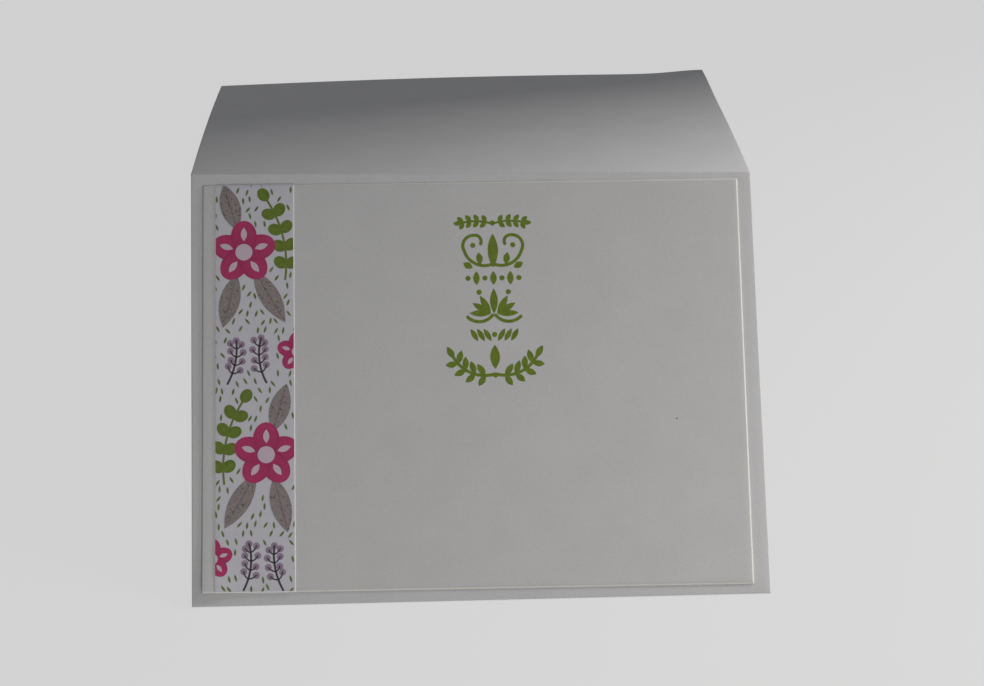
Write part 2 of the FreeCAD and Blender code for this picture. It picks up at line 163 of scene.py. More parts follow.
def in_scene(name, mesh, material):
    """An object in the scene from a mesh and its material."""
    mesh.materials.clear()
    mesh.materials.append(material)
    mesh.update()
    piece = bpy.data.objects.new(name, mesh)
    bpy.context.scene.collection.objects.link(piece)
    return piece


def make_piece(name, plates, material, finish=None):
    """One piece from a list of plates. finish cuts the joined mesh or moves it to its place."""
    offsets = np.cumsum([0] + [len(points) for points, _, _ in plates])
    points = np.concatenate([points for points, _, _ in plates])
    faces = np.concatenate([faces + offset for (_, faces, _), offset in zip(plates, offsets)])
    uvs = np.concatenate([uv for _, _, uv in plates])
    mesh = bpy.data.meshes.new(name)
    mesh.from_pydata(points.tolist(), [], faces.tolist())
    layer = mesh.uv_layers.new(name="surface")
    corner_points = np.empty(len(mesh.loops), dtype=np.int32)
    mesh.loops.foreach_get("vertex_index", corner_points)
    layer.uv.foreach_set("vector", uvs[corner_points].astype(np.float32).ravel())
    if finish:
        finish(mesh)
    mesh.shade_smooth()
    mesh.set_sharp_from_angle(angle=SHARP_ANGLE)
    return in_scene(name, mesh, material)


def new_material(name, colour, roughness):
    """A material with its shader, and the place on the object that its patterns read."""
    material = bpy.data.materials.new(name)
    material.use_nodes = True
    nodes = material.node_tree.nodes
    shader = nodes["Principled BSDF"]
    shader.inputs["Base Color"].default_value = (*colour, 1)
    shader.inputs["Roughness"].default_value = roughness
    shader.inputs["Specular IOR Level"].default_value = PAPER_GLOSS
    place = nodes.new("ShaderNodeTexCoord")
    return material, shader, place


def noise(material, place, scale, detail):
    """A noise texture over the object, at so many features per metre."""
    texture = material.node_tree.nodes.new("ShaderNodeTexNoise")
    texture.inputs["Scale"].default_value = scale
    texture.inputs["Detail"].default_value = detail
    material.node_tree.links.new(place.outputs["Object"], texture.inputs["Vector"])
    return texture.outputs["Fac"]


def ramp(material, fac, stops):
    """A colour ramp over a value, from pairs of position and linear colour."""
    node = material.node_tree.nodes.new("ShaderNodeValToRGB")
    elements = node.color_ramp.elements
    while len(elements) < len(stops):
        elements.new(0.5)
    for element, (position, colour) in zip(elements, stops):
        element.position = position
        element.color = (*colour, 1)
    material.node_tree.links.new(fac, node.inputs["Fac"])
    return node.outputs["Color"]


def blended(material, mode, share, first, second):
    """Two colours mixed; share is a number or a value from another node."""
    node = material.node_tree.nodes.new("ShaderNodeMix")
    node.data_type = "RGBA"
    node.blend_type = mode
    for socket, value in (("Factor", share), ("A", first), ("B", second)):
        target = [item for item in node.inputs if item.name == socket and item.enabled][0]
        if hasattr(value, "is_output"):
            material.node_tree.links.new(value, target)
        elif socket == "Factor":
            target.default_value = value
        else:
            target.default_value = (*value, 1)
    return [item for item in node.outputs if item.enabled][0]


def shaded(colour, share):
    """A colour made lighter or darker by a share of itself."""
    return tuple(channel * (1 + share) for channel in colour)


def mottled(material, spots, colour, low, high):
    """A colour that a noise shades from one share of itself to another."""
    stops = [(MOTTLE_LOW, shaded(colour, low)), (MOTTLE_HIGH, shaded(colour, high))]
    return ramp(material, spots, stops)


def paper_tooth(material, shader, place, scale, depth):
    """A fine bumpy tooth of the paper's fibres, depth in metres."""
    bump = material.node_tree.nodes.new("ShaderNodeBump")
    bump.inputs["Strength"].default_value = TOOTH_STRENGTH
    bump.inputs["Distance"].default_value = depth
    material.node_tree.links.new(noise(material, place, scale, TOOTH_DETAIL), bump.inputs["Height"])
    material.node_tree.links.new(bump.outputs["Normal"], shader.inputs["Normal"])


def cardstock(name, colour):
    """White cardstock: faint clouds from the pulp, fine fibre specks and a matt tooth."""
    material, shader, place = new_material(name, colour, CARDSTOCK_ROUGHNESS)
    clouds = mottled(material, noise(material, place, CLOUDS_PER_METRE, CLOUD_DETAIL),
                     colour, -CLOUD_SHADE, CLOUD_SHADE)
    fibres = ramp(material, noise(material, place, FIBRES_PER_METRE, FIBRE_DETAIL), FIBRE_SHADES)
    colour_out = blended(material, "MULTIPLY", 1.0, clouds, fibres)
    material.node_tree.links.new(colour_out, shader.inputs["Base Color"])
    paper_tooth(material, shader, place, TOOTH_PER_METRE, TOOTH_DEPTH)
    return material, shader, place


left_ends = section(DECORATED_LEAF + FOLD_SKEW, np.array([0.0, 3.0]))[0]
right_ends = section(DECORATED_LEAF - FOLD_SKEW, np.array([0.0, 3.0]))[0]
centre_y = (left_ends[0, 0] + max(left_ends[1, 0], right_ends[1, 0])) / 2


def folded_sheet(place, across, depth):
    """Points in metres of the folded sheet, each end's section joined to the other by straight lines.

    depth is how far a point lies under the outer face. The rear leaf's free edge curls up by
    FREE_EDGE_CURL in its middle: curl * sin(pi * across) * (share of the rear leaf) squared. Its
    right corner rises by a bell that dies away over FREE_CORNER_REACH to the side and to the fold.
    """
    left, left_normal = section(DECORATED_LEAF + FOLD_SKEW, place)
    right, right_normal = section(DECORATED_LEAF - FOLD_SKEW, place)
    share = across[None, :, None]
    curl = FREE_EDGE_CURL * np.sin(np.pi * across)[None, :] * np.clip(place - 2, 0, 1)[:, None] ** 2
    outer = left[:, None] * (1 - share) + right[:, None] * share
    normals = left_normal[:, None] * (1 - share) + right_normal[:, None] * share
    flat = outer + normals * (curl - depth)[..., None]
    x = np.broadcast_to((across[None, :] - 0.5) * CARD_WIDTH, flat.shape[:2])
    from_side = (1 - across[None, :]) * CARD_WIDTH / FREE_CORNER_REACH[0]
    from_free_edge = (3 - place[:, None]) * rear_leaf / FREE_CORNER_REACH[1]
    corner = FREE_CORNER_LIFT * np.exp(-from_side ** 2 - from_free_edge ** 2)
    return np.stack([x, flat[..., 0] - centre_y, flat[..., 1] + corner], axis=-1) / MM_PER_METRE


up_leaf = edge_steps(2 * DECORATED_LEAF, LEAF_ROWS, BASE_EDGE_ROUND)
up_leaf = up_leaf[up_leaf < DECORATED_LEAF - 1] / DECORATED_LEAF
down_rear = edge_steps(2 * rear_leaf, REAR_ROWS, BASE_EDGE_ROUND)
down_rear = 3 - down_rear[down_rear < rear_leaf - 1][::-1] / rear_leaf
base_place = np.concatenate([up_leaf, np.linspace(1, 2, FOLD_ROWS), down_rear])
base_across = edge_steps(CARD_WIDTH, BASE_COLUMNS, BASE_EDGE_ROUND) / CARD_WIDTH
from_ends = np.minimum(base_place * DECORATED_LEAF, (3 - base_place) * rear_leaf)
from_sides = np.minimum(base_across, 1 - base_across) * CARD_WIDTH
to_edge = np.minimum(from_ends[:, None], from_sides[None, :])
base_drop = edge_drop(to_edge, BASE_EDGE_ROUND) * SHEET_THICKNESS * BASE_EDGE_PRESS
base_top = folded_sheet(base_place, base_across, base_drop)
base_under = folded_sheet(base_place, base_across, np.full_like(base_drop, SHEET_THICKNESS))
# The base's colour carries painted light: lighter than the panel's, to offset shade.
base_material = cardstock("base_cardstock", BASE_WHITE_PAINTED_LIGHTER)[0]
card_base = make_piece("card_base_sheet", [closed_sheet(base_top, base_under)], base_material)
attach(card_base, "root")
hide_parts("card_base")


# The inside panel: a second sheet of the same white cardstock, glued inside a narrow border and
# turned by a third of a degree. The glue has let go at its lower left corner, which curls up.
BORDER_LEFT = 2.3
BORDER_RIGHT = 4.05
BORDER_BOTTOM = 3.2
BORDER_FOLD = 2.0
PANEL_TURN = np.radians(-0.34)
PANEL_THICKNESS = 0.35
PANEL_EDGE_ROUND = 0.42
PANEL_EDGE_PRESS = 0.9
PANEL_ROWS = 61
PANEL_COLUMNS = 81
CORNER_CURL = 0.8
CORNER_CURL_REACH = (7.0, 8.5)
SIDE_CURL = 0.03
SIDE_CURL_REACH = 2.5
FLECK_PLACE = (116.1, 40.8)
FLECK_RADIUS = 0.28
FLECK_COLOUR = (0.16, 0.15, 0.17)
EDGE_REACH = 10.0
END_EDGE_SHARE = 0.45
PANEL_WHITE = (0.665, 0.66, 0.658)
# The panel's cut edges are whiter all round: partly the paper's raw core, partly a painted highlight.
PANEL_CORE_AND_HIGHLIGHT = (0.80, 0.78, 0.735)
PANEL_CORE_AND_HIGHLIGHT_WIDTH = 0.45
# Painted shadow: a dark line along the panel's left edge, standing in for the shade where its edge meets
# the leaf.
PAINTED_SHADOW_LINE = (0.45, 0.425, 0.40)
PAINTED_SHADOW_LINE_WIDTH = 0.42
LINE_SOLID_SHARE = 0.6
panel_width = CARD_WIDTH - BORDER_LEFT - BORDER_RIGHT
panel_height = DECORATED_LEAF - BORDER_BOTTOM - BORDER_FOLD
press_reach = PANEL_EDGE_ROUND / END_EDGE_SHARE


def panel_lift(x, y):
    """How far the panel stands off the leaf: two bells that die away from its corner and side."""
    corner = CORNER_CURL * np.exp(-((x / CORNER_CURL_REACH[0]) ** 2) - (y / CORNER_CURL_REACH[1]) ** 2)
    side = SIDE_CURL * np.exp(-((x / SIDE_CURL_REACH) ** 2))
    return corner + side


def end_press(y):
    """How far the panel's face is pressed down near its ends, over a longer reach than at its sides."""
    to_ends = np.minimum(y, panel_height - y)
    return edge_drop(to_ends * END_EDGE_SHARE, PANEL_EDGE_ROUND) * PANEL_THICKNESS * PANEL_EDGE_PRESS


def on_leaf(points):
    """Points in metres from the panel's own plane: x, y from its corner and height above the leaf.

    height + lift - press * (share of the panel's thickness), so what lies on the panel follows it.
    """
    x, y, height = points.T
    height = height + panel_lift(x, y) - end_press(y) * np.clip(height / PANEL_THICKNESS, 0, 1)
    right = BORDER_LEFT + x * np.cos(PANEL_TURN) - y * np.sin(PANEL_TURN)
    up = BORDER_BOTTOM + x * np.sin(PANEL_TURN) + y * np.cos(PANEL_TURN)
    foot_y, foot_z = left_ends[0]
    world_y = foot_y - centre_y + up * np.cos(LEAF_SLOPE) - height * np.sin(LEAF_SLOPE)
    world_z = foot_z + up * np.sin(LEAF_SLOPE) + height * np.cos(LEAF_SLOPE)
    return np.stack([right - CARD_WIDTH / 2, world_y, world_z], axis=-1) / MM_PER_METRE


def move_points(mesh, change):
    """Moves all of a mesh's points by one function."""
    flat = np.empty(len(mesh.vertices) * 3)
    mesh.vertices.foreach_get("co", flat)
    mesh.vertices.foreach_set("co", change(flat.reshape(-1, 3)).ravel())


def carry_to_leaf(mesh):
    """Moves a mesh from the panel's own plane to its place on the leaf."""
    move_points(mesh, on_leaf)


def flat_sheet(x0, width, low, thickness, edge_round, columns, ends_rounded):
    """A plate in the panel's plane, as high as the panel, its sides and perhaps its ends pressed round.

    Its surface's U is the distance from the nearest edge and V the distance from the left edge, as
    shares of EDGE_REACH.
    """
    across = edge_steps(width, columns, edge_round)
    along = np.union1d(edge_steps(panel_height, PANEL_ROWS, edge_round),
                       edge_steps(panel_height, 2, press_reach))
    x, y = np.meshgrid(across, along)
    to_sides = np.minimum(x, width - x)
    to_ends = np.minimum(y, panel_height - y)
    to_edge = np.minimum(to_sides, to_ends)
    drop = edge_drop(to_edge if ends_rounded else to_sides, edge_round) * thickness * PANEL_EDGE_PRESS
    top = np.stack([x + x0, y, low + thickness - drop], axis=-1)
    under = np.stack([x + x0, y, np.full_like(x, low)], axis=-1)
    uv = np.stack([np.clip(to_edge / EDGE_REACH, 0, 1), np.clip(x / EDGE_REACH, 0, 1)], axis=-1)
    return closed_sheet(top, under, uv)


def surface_split(material, place):
    """The surface's own coordinates U and V as two values, each from 0 to 1."""
    split = material.node_tree.nodes.new("ShaderNodeSeparateXYZ")
    material.node_tree.links.new(place.outputs["UV"], split.inputs["Vector"])
    return split.outputs["X"], split.outputs["Y"]


def mix_into(material, shader, mode, share, colour):
    """Mixes another colour into the shader's own."""
    before = shader.inputs["Base Color"].links[0].from_socket
    mixed = blended(material, mode, share, before, colour)
    material.node_tree.links.new(mixed, shader.inputs["Base Color"])


def edge_line(material, shader, distance, width, colour):
    """A line of another colour, where a distance in shares of EDGE_REACH is under the line's width."""
    reach = width / EDGE_REACH
    stops = [(0.0, (1, 1, 1)), (reach * LINE_SOLID_SHARE, (1, 1, 1)), (reach, (0, 0, 0))]
    mix_into(material, shader, "MIX", ramp(material, distance, stops), colour)


def fleck(material, shader, place):
    """A small dark speck of dirt, by its distance from a point on the panel."""
    nodes, links = material.node_tree.nodes, material.node_tree.links
    centre = on_leaf(np.array([[*FLECK_PLACE, PANEL_THICKNESS]]))[0]
    distance = nodes.new("ShaderNodeVectorMath")
    distance.operation = "DISTANCE"
    distance.inputs[1].default_value = tuple(centre)
    links.new(place.outputs["Object"], distance.inputs[0])
    reach = nodes.new("ShaderNodeMapRange")
    reach.inputs["From Min"].default_value = FLECK_RADIUS / MM_PER_METRE
    reach.inputs["From Max"].default_value = FLECK_RADIUS / 2 / MM_PER_METRE
    links.new(distance.outputs["Value"], reach.inputs["Value"])
    mix_into(material, shader, "MIX", reach.outputs["Result"], FLECK_COLOUR)


panel_material, panel_shader, panel_place = cardstock("panel_cardstock", PANEL_WHITE)
fleck(panel_material, panel_shader, panel_place)
from_cut_edge, from_left_edge = surface_split(panel_material, panel_place)
# Whiter cut edges, partly the paper's raw core and partly a painted highlight.
edge_line(panel_material, panel_shader, from_cut_edge, PANEL_CORE_AND_HIGHLIGHT_WIDTH, PANEL_CORE_AND_HIGHLIGHT)
# A painted shadow line along the panel's left edge, by the distance from that edge.
edge_line(panel_material, panel_shader, from_left_edge, PAINTED_SHADOW_LINE_WIDTH, PAINTED_SHADOW_LINE)
panel_plate = flat_sheet(
    0, panel_width, 0, PANEL_THICKNESS, PANEL_EDGE_ROUND, PANEL_COLUMNS, ends_rounded=False)
inside_panel = make_piece("inside_panel_sheet", [panel_plate], panel_material, carry_to_leaf)
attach(inside_panel, "root")
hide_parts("inside_panel")


# The patterned strip: thin smooth paper, cut from a printed sheet as high as the panel and glued
# near the panel's left edge. Its ground is a pale lavender white, and its cut edges show white.
STRIP_WIDTH = 19.4
STRIP_INSET = 3.3
STRIP_THICKNESS = 0.2
STRIP_EDGE_ROUND = 0.22
STRIP_GROUND = (0.655, 0.645, 0.70)
STRIP_CORE = (0.84, 0.835, 0.82)
STRIP_CORE_WIDTH = 0.2
STRIP_COLUMNS = 21
STRIP_ROUGHNESS = 0.7
STRIP_CLOUDS_PER_METRE = 700
STRIP_CLOUD_SHADES = (-0.025, 0.015)
STRIP_TOOTH_PER_METRE = 2400
STRIP_TOOTH_DEPTH = 0.00002


def strip_paper():
    """The printed ground, smooth and a little cloudy, with the paper's white core at its cut edges."""
    material, shader, place = new_material("strip_paper", STRIP_GROUND, STRIP_ROUGHNESS)
    ground = mottled(material, noise(material, place, STRIP_CLOUDS_PER_METRE, CLOUD_DETAIL),
                     STRIP_GROUND, *STRIP_CLOUD_SHADES)
    material.node_tree.links.new(ground, shader.inputs["Base Color"])
    from_edge = surface_split(material, place)[0]
    edge_line(material, shader, from_edge, STRIP_CORE_WIDTH, STRIP_CORE)
    paper_tooth(material, shader, place, STRIP_TOOTH_PER_METRE, STRIP_TOOTH_DEPTH)
    return material


strip_plate = flat_sheet(
    STRIP_INSET, STRIP_WIDTH, PANEL_THICKNESS, STRIP_THICKNESS, STRIP_EDGE_ROUND, STRIP_COLUMNS,
    ends_rounded=True)
pattern_strip = make_piece("pattern_strip_paper", [strip_plate], strip_paper(), carry_to_leaf)
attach(pattern_strip, "root")
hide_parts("pattern_strip")


# The printed blooms: round pink petals about a pale eye, in one large and one small bloom for each
# repeat of the pattern. Each motif is a film of ink, laid on the strip and cut off at its edges.
INK_SINK = 0.01
INK_FACE = 0.012
INK_LAYER = 0.003
PATTERN_REPEAT = 50.8
PATTERN_WIDTH = 19.4
BLOOM_PETALS = 5
BLOOM_RADIUS = 8.0
PETAL_LENGTH = 8.2
PETAL_WIDTH = 6.4
BLOOM_EYE_RADIUS = 2.1
PETAL_MARK_LENGTH = 3.4
PETAL_MARK_WIDTH = 1.5
PETAL_MARK_GAP = 0.75
BLOOMS = ((12.4, 33.5, 1.0), (-0.6, 8.2, 0.62))
PINK = (0.475, 0.045, 0.148)
BLUSH = (0.66, 0.53, 0.61)
PETAL_SHADES_ALONG = ((0.0, (0.72, 0.66, 0.70)), (0.35, (0.9, 0.88, 0.9)),
                      (0.8, (1.04, 1.06, 1.05)), (1.0, (0.95, 0.95, 0.95)))
PETAL_RIM_SHADE = (0.86, 0.82, 0.84)
PETAL_RIM = 0.14
MARKS_LAYER = 14
PETALS_LAYER = 12
INK_ROUGHNESS = 0.62
INK_DETAIL = 4.0
PRINT_LEFT_MARGIN = 0.06
PRINT_MARGIN = 0.2
strip_top = PANEL_THICKNESS + STRIP_THICKNESS
strip_cut = (STRIP_INSET + PRINT_LEFT_MARGIN, PRINT_MARGIN,
             STRIP_INSET + STRIP_WIDTH - PRINT_MARGIN, panel_height - PRINT_MARGIN)
press_rows = rounded_steps(press_reach)[EDGE_STEPS // 2:]
print_rows = np.concatenate([press_rows, panel_height - press_rows])


def film(x, y, layer):
    """A film of ink over a grid of places, with its foot sunk a little into the strip.

    Its face lies INK_FACE + layer * INK_LAYER over the strip. Its surface's U runs across the grid
    and V along it, from 0 to 1.
    """
    rows, columns = x.shape
    u, v = np.meshgrid(np.linspace(0, 1, columns), np.linspace(0, 1, rows))
    top = np.stack([x, y, np.full_like(x, strip_top + INK_FACE + layer * INK_LAYER)], axis=-1)
    under = np.stack([x, y, np.full_like(x, strip_top - INK_SINK)], axis=-1)
    return closed_sheet(top, under, np.stack([u, v], axis=-1))


def turned(x, y, centre, degrees):
    """Places turned about their origin from +Y, then moved to a centre."""
    turn = np.radians(degrees)
    return (centre[0] + x * np.cos(turn) - y * np.sin(turn),
            centre[1] + x * np.sin(turn) + y * np.cos(turn))


def leaf(centre, degrees, length, width, layer, rows=17, columns=7):
    """A pointed leaf from its centre along +Y: half width = width / 2 * (1 - (2 t - 1) squared)."""
    t, side = np.meshgrid(np.linspace(0.004, 0.996, rows), np.linspace(-1, 1, columns), indexing="ij")
    half = width / 2 * (1 - (2 * t - 1) ** 2)
    return film(*turned(side * half, t * length, centre, degrees), layer)


def oval(centre, degrees, length, width, layer, rows=19, columns=9):
    """An oval leaf or petal from its centre along +Y: half width = width / 2 * sin(a), a from 0 to pi."""
    a, side = np.meshgrid(np.linspace(0.03, np.pi - 0.03, rows), np.linspace(-1, 1, columns), indexing="ij")
    half = width / 2 * np.sin(a)
    return film(*turned(side * half, length / 2 * (1 - np.cos(a)), centre, degrees), layer)


def disc(centre, radius, layer):
    """A round spot, as an oval about its centre."""
    return oval((centre[0], centre[1] - radius), 0, 2 * radius, 2 * radius, layer, rows=15)


def repeats():
    """Each repeat of the pattern up the strip: its foot, and whether it is mirrored across the strip."""
    for number in range(int(np.ceil(panel_height / PATTERN_REPEAT)) + 1):
        yield number * PATTERN_REPEAT, number % 2 == 1


def printed(motifs):
    """A colour's films in every repeat, mirrored in each second one, if they touch the strip."""
    plates = []
    for foot, flip in repeats():
        for points, faces, uv in motifs:
            points = points + (STRIP_INSET, foot, 0)
            if flip:
                points[:, 0] = 2 * STRIP_INSET + PATTERN_WIDTH - points[:, 0]
                faces = faces[:, ::-1]
            touching = (points[:, :2].max(0) > strip_cut[:2]) & (points[:, :2].min(0) < strip_cut[2:])
            if touching.all():
                plates.append((points, faces, uv))
    return plates


def ink(name, colour, mottle, scale):
    """A printed ink: its colour, a fine mottle at so many spots per metre, and a slight satin gloss."""
    material, shader, place = new_material(name, colour, INK_ROUGHNESS)
    shades = mottled(material, noise(material, place, scale, INK_DETAIL), colour, -mottle, mottle)
    material.node_tree.links.new(shades, shader.inputs["Base Color"])
    return material, shader, place


def multiply_by(material, shader, colour):
    """Shades the shader's colour by another one, darker under 1 and lighter over 1."""
    mix_into(material, shader, "MULTIPLY", 1.0, colour)


def cut_and_carry(mesh):
    """Cuts a print off at the strip's edges, closes it, and carries it to its place on the leaf.

    It also gets lines of points at print_rows, so that it bends with the panel's pressed ends.
    """
    x0, y0, x1, y1 = strip_cut
    shape = bmesh.new()
    shape.from_mesh(mesh)
    for place, outwards in (((x0, 0, 0), (-1, 0, 0)), ((x1, 0, 0), (1, 0, 0)),
                            ((0, y0, 0), (0, -1, 0)), ((0, y1, 0), (0, 1, 0))):
        geometry = shape.verts[:] + shape.edges[:] + shape.faces[:]
        bmesh.ops.bisect_plane(shape, geom=geometry, plane_co=place, plane_no=outwards, clear_outer=True)
        open_edges = [edge for edge in shape.edges if edge.is_boundary]
        if open_edges:
            bmesh.ops.holes_fill(shape, edges=open_edges, sides=0)
    for row in print_rows:
        geometry = shape.verts[:] + shape.edges[:] + shape.faces[:]
        bmesh.ops.bisect_plane(shape, geom=geometry, plane_co=(0, row, 0), plane_no=(0, 1, 0))
    shape.to_mesh(mesh)
    shape.free()
    carry_to_leaf(mesh)


def lay_print(name, node, plates, material):
    """Makes a print's piece on the strip in place of its node."""
    piece = make_piece(name, plates, material, cut_and_carry)
    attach(piece, "root")
    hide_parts(node)


def outward(degrees, reach):
    """The step from a centre in a direction turned from +Y."""
    turn = np.radians(degrees)
    return np.array([-np.sin(turn), np.cos(turn)]) * reach


petals = []
pale_marks = []
for bloom_x, bloom_y, scale in BLOOMS:
    middle = np.array([bloom_x, bloom_y])
    pale_marks.append(disc(middle, BLOOM_EYE_RADIUS * scale, MARKS_LAYER))
    for number in range(BLOOM_PETALS):
        turn = 360 / BLOOM_PETALS * number
        root = middle + outward(turn, (BLOOM_RADIUS - PETAL_LENGTH) * scale)
        start = middle + outward(turn, (BLOOM_EYE_RADIUS + PETAL_MARK_GAP) * scale)
        petal = oval(root, turn, PETAL_LENGTH * scale, PETAL_WIDTH * scale, PETALS_LAYER - number)
        mark = leaf(start, turn, PETAL_MARK_LENGTH * scale, PETAL_MARK_WIDTH * scale, MARKS_LAYER)
        petals.append(petal)
        pale_marks.append(mark)

pink_material, pink_shader, pink_place = ink("pink_ink", PINK, mottle=0.07, scale=1500)
across, along = surface_split(pink_material, pink_place)
multiply_by(pink_material, pink_shader, ramp(pink_material, along, PETAL_SHADES_ALONG))
multiply_by(pink_material, pink_shader, ramp(pink_material, across, [
    (0.0, PETAL_RIM_SHADE), (PETAL_RIM, UNCHANGED), (1 - PETAL_RIM, UNCHANGED), (1.0, PETAL_RIM_SHADE)]))
lay_print("print_pink_petals", "print_pink", printed(petals), pink_material)
blush_material = ink("blush_ink", BLUSH, mottle=0.03, scale=1200)[0]
lay_print("print_blush_marks", "print_blush", printed(pale_marks), blush_material)


# The grey leaves behind the blooms: long pointed leaves in a warm grey ink, with a darker midrib,
# side veins that slant to the tip, and fine dark speckles.
GREY_LEAF_WIDTH = 5.0
GREY_LEAVES = ((10.0, 29.0, 150, 15.5), (14.2, 28.0, 194, 14.0), (14.0, 39.0, -16, 12.5))
GREY = (0.30, 0.262, 0.255)
GREY_LAYER = 7
VEIN_COUNT = 9
VEIN_SLANT = 0.45
VEIN_WIDTH = 0.22
VEIN_SHADE = (0.72, 0.72, 0.72)
MIDRIB_WIDTH = 0.07
MIDRIB_SHADE = (0.648, 0.648, 0.648)
SPECKLES_PER_METRE = 1500
SPECKLE_SHADES = ((0.33, (0.5, 0.48, 0.52)), (0.38, UNCHANGED))
SPECKLE_DETAIL = 1.0


def leaf_veins(material, place):
    """A leaf's midrib, and its side veins, where along - VEIN_SLANT * |across - 0.5| repeats."""
    nodes, links = material.node_tree.nodes, material.node_tree.links
    across, along = surface_split(material, place)

    def result_of(first, operation, second):
        node = nodes.new("ShaderNodeMath")
        node.operation = operation
        for socket, value in zip(node.inputs, (first, second)):
            if hasattr(value, "is_output"):
                links.new(value, socket)
            else:
                socket.default_value = value
        return node.outputs["Value"]

    off_centre = result_of(result_of(across, "SUBTRACT", 0.5), "ABSOLUTE", 0.0)
    slanted = result_of(along, "SUBTRACT", result_of(off_centre, "MULTIPLY", VEIN_SLANT))
    phase = result_of(result_of(slanted, "MULTIPLY", VEIN_COUNT), "FRACT", 0.0)
    side_veins = ramp(material, phase, [(0.0, VEIN_SHADE), (VEIN_WIDTH, UNCHANGED), (1.0, UNCHANGED)])
    midrib = ramp(material, off_centre, [(0.0, MIDRIB_SHADE), (MIDRIB_WIDTH, UNCHANGED)])
    return blended(material, "MULTIPLY", 1.0, side_veins, midrib)


grey_leaves = [leaf((x, y), turn, length, GREY_LEAF_WIDTH, GREY_LAYER)
               for x, y, turn, length in GREY_LEAVES]
grey_material, grey_shader, grey_place = ink("grey_ink", GREY, mottle=0.10, scale=900)
multiply_by(grey_material, grey_shader, leaf_veins(grey_material, grey_place))
speckles = noise(grey_material, grey_place, SPECKLES_PER_METRE, SPECKLE_DETAIL)
multiply_by(grey_material, grey_shader, ramp(grey_material, speckles, SPECKLE_SHADES))
lay_print("print_grey_leaves", "print_grey", printed(grey_leaves), grey_material)


# The green vine: a thin bent stem with pairs of round leaves and one at its tip, in a flat olive
# green with a lighter midrib on each leaf.
VINE_ROUTE = ((2.2, 26.5), (2.9, 38.0), (6.6, 46.6))
VINE_LEAF_LENGTH = 3.6
VINE_LEAF_WIDTH = 2.9
VINE_LEAF_PAIRS = 4
VINE_FIRST_PAIR = 0.15
VINE_LEAF_SPREAD = 52
STEM_WIDTH = 0.5
LEAF_GREEN = (0.145, 0.203, 0.03)
VINE_SHADES = ((0.0, (0.9, 0.9, 0.9)), (0.46, UNCHANGED), (0.5, (1.35, 1.3, 1.3)), (0.54, UNCHANGED))
VINE_LAYER = 6
VINE_LAYER_STEP = 0.25
STROKE_END_STEPS = 4
STROKE_END_SHARE = 0.05


def along_route(route, shares):
    """Places and headings from +Y on the arc through a route's three points, at shares of its turn."""
    start, middle, end = (np.array(point, dtype=float) for point in route)
    rows = np.array([middle - start, end - middle]) * 2
    squares = np.array([middle @ middle - start @ start, end @ end - middle @ middle])
    centre = np.linalg.solve(rows, squares)
    angles = [np.arctan2(*(point - centre)[::-1]) for point in (start, middle, end)]
    first, _, last = np.unwrap(angles)
    turn = first + (last - first) * np.asarray(shares, dtype=float)
    radius = np.hypot(*(start - centre))
    way = np.sign(last - first)
    points = centre + radius * np.stack([np.cos(turn), np.sin(turn)], axis=-1)
    heading = np.degrees(np.arctan2(np.sin(turn) * way, np.cos(turn) * way))
    return points, heading


def stroke(route, width, layer, rows=13, columns=5):
    """A band of one width along a route's arc, with ends that close in a half circle."""
    ends = np.linspace(0, np.pi / 2, STROKE_END_STEPS, endpoint=False)
    points, heading = along_route(route, np.linspace(0, 1, rows))
    headings = np.radians(heading)
    ahead = np.stack([-np.sin(headings), np.cos(headings)], axis=-1)
    right = np.stack([np.cos(headings), np.sin(headings)], axis=-1)
    reach = width / 2
    back = points[0] - ahead[0] * reach * np.cos(ends)[:, None]
    front = points[-1] + ahead[-1] * reach * np.cos(ends)[::-1, None]
    line = np.concatenate([back, points, front])
    first_side = np.repeat(right[:1], STROKE_END_STEPS, axis=0)
    last_side = np.repeat(right[-1:], STROKE_END_STEPS, axis=0)
    sideways = np.concatenate([first_side, right, last_side])
    narrow = np.maximum(np.sin(ends), STROKE_END_SHARE)
    half = np.concatenate([narrow, np.ones(rows), narrow[::-1]]) * reach
    side = np.linspace(-1, 1, columns)
    places = line[:, None] + sideways[:, None] * (half[:, None] * side)[..., None]
    return film(places[..., 0], places[..., 1], layer)


def shares_from(first, count):
    """Even shares of a stem from the first pair of leaves towards its tip."""
    return first + (1 - first) * np.arange(count) / count


vine_layer = VINE_LAYER
vine = [stroke(VINE_ROUTE, STEM_WIDTH, vine_layer)]
for (x, y), heading in zip(*along_route(VINE_ROUTE, shares_from(VINE_FIRST_PAIR, VINE_LEAF_PAIRS))):
    for side in (-1, 1):
        vine_layer -= VINE_LAYER_STEP
        spread = heading + side * VINE_LEAF_SPREAD
        vine.append(oval((x, y), spread, VINE_LEAF_LENGTH, VINE_LEAF_WIDTH, vine_layer, rows=13, columns=7))
(tip,), (heading,) = along_route(VINE_ROUTE, [1.0])
vine.append(oval(tip, heading, VINE_LEAF_LENGTH, VINE_LEAF_WIDTH, vine_layer, rows=13, columns=7))
green_material, green_shader, green_place = ink("leaf_green_ink", LEAF_GREEN, mottle=0.12, scale=1100)
across = surface_split(green_material, green_place)[0]
multiply_by(green_material, green_shader, ramp(green_material, across, VINE_SHADES))
lay_print("print_green_vine", "print_green", printed(vine), green_material)


